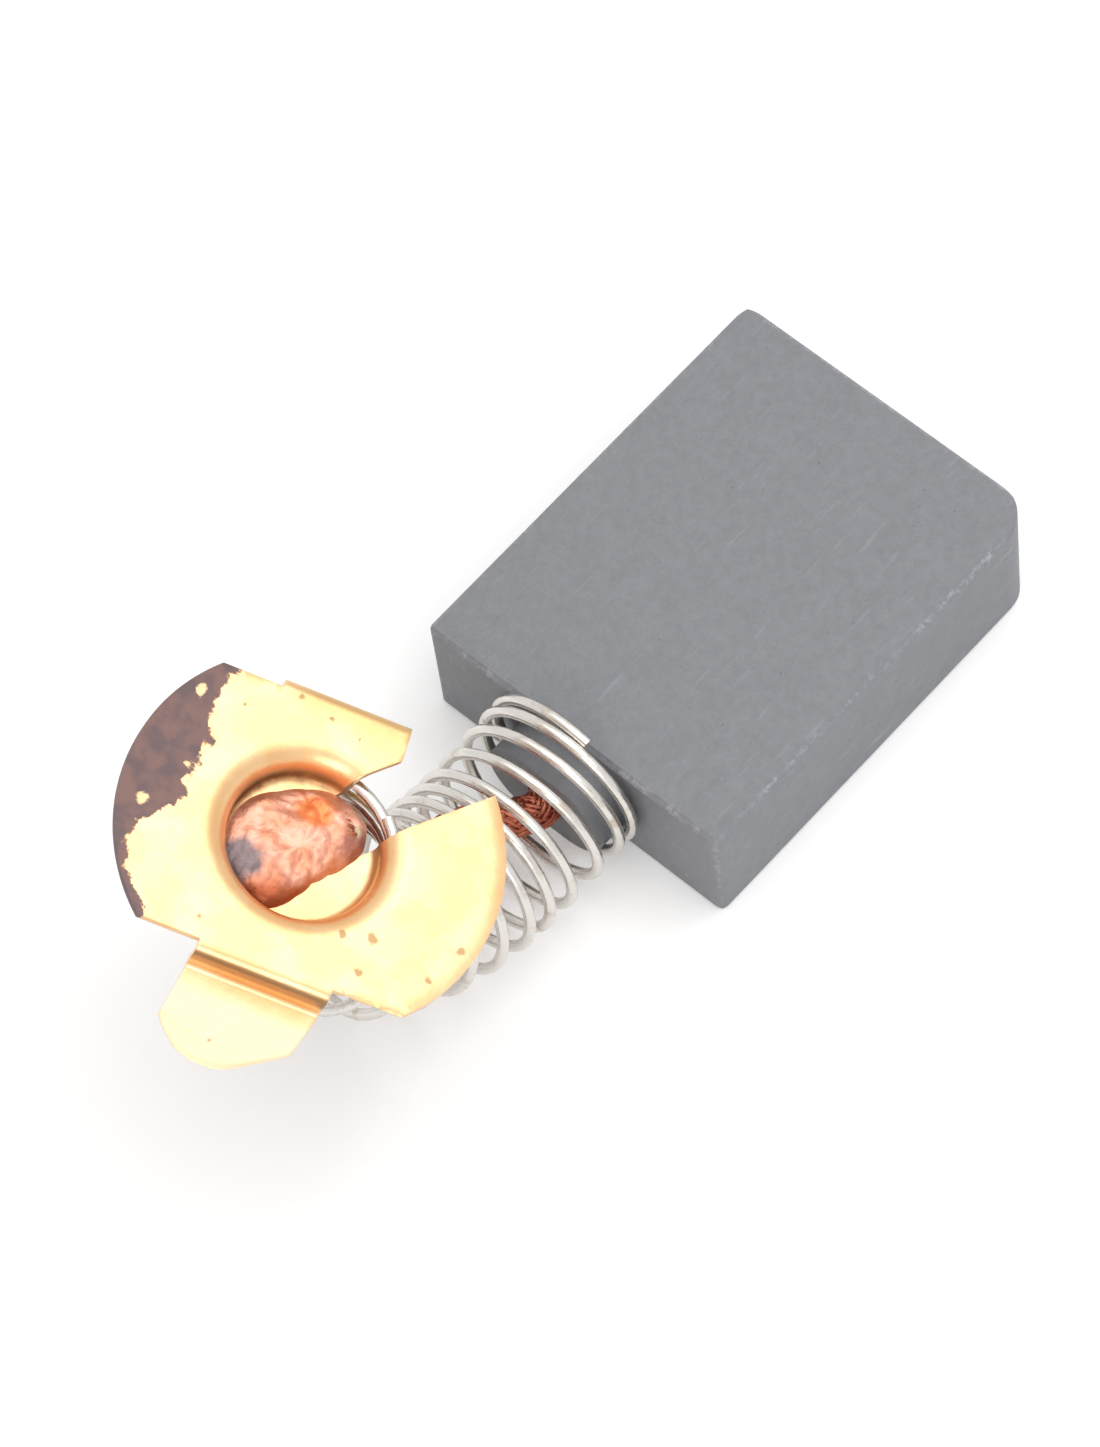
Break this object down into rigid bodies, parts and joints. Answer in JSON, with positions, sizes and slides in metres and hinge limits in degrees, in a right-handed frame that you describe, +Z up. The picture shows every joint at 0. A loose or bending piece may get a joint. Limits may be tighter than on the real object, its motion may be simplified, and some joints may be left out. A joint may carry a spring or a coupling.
{
  "type": "carbon brush",
  "caption": "Flat carbon brush with a free coil spring that bends up to a stamped brass cap with ears; a braided copper pigtail runs inside the spring.",
  "frame": {"origin": "middle of the carbon block's underside", "axes": "+X along the block towards the face that wears, +Y across the block's width, +Z up through its thickness"},
  "size_m": [0.049, 0.0187, 0.0208],
  "materials": {
    "carbon": "matte",
    "spring_steel": "satin",
    "copper_braid": "satin",
    "cap_brass": "satin"
  },
  "bodies": {
    "carbon": {"carbon_block": "carbon", "spring": "spring_steel", "pigtail": "copper_braid"},
    "cap": {"brass_cap": "cap_brass"}
  },
  "joints": [
    {"name": "spring_travel", "type": "slide", "parent": "carbon", "child": "cap", "axis": [1, 0, 0], "range_m": [0, 0.004], "stiffness_N_per_m": 100, "deforming": ["spring", "pigtail"]}
  ]
}
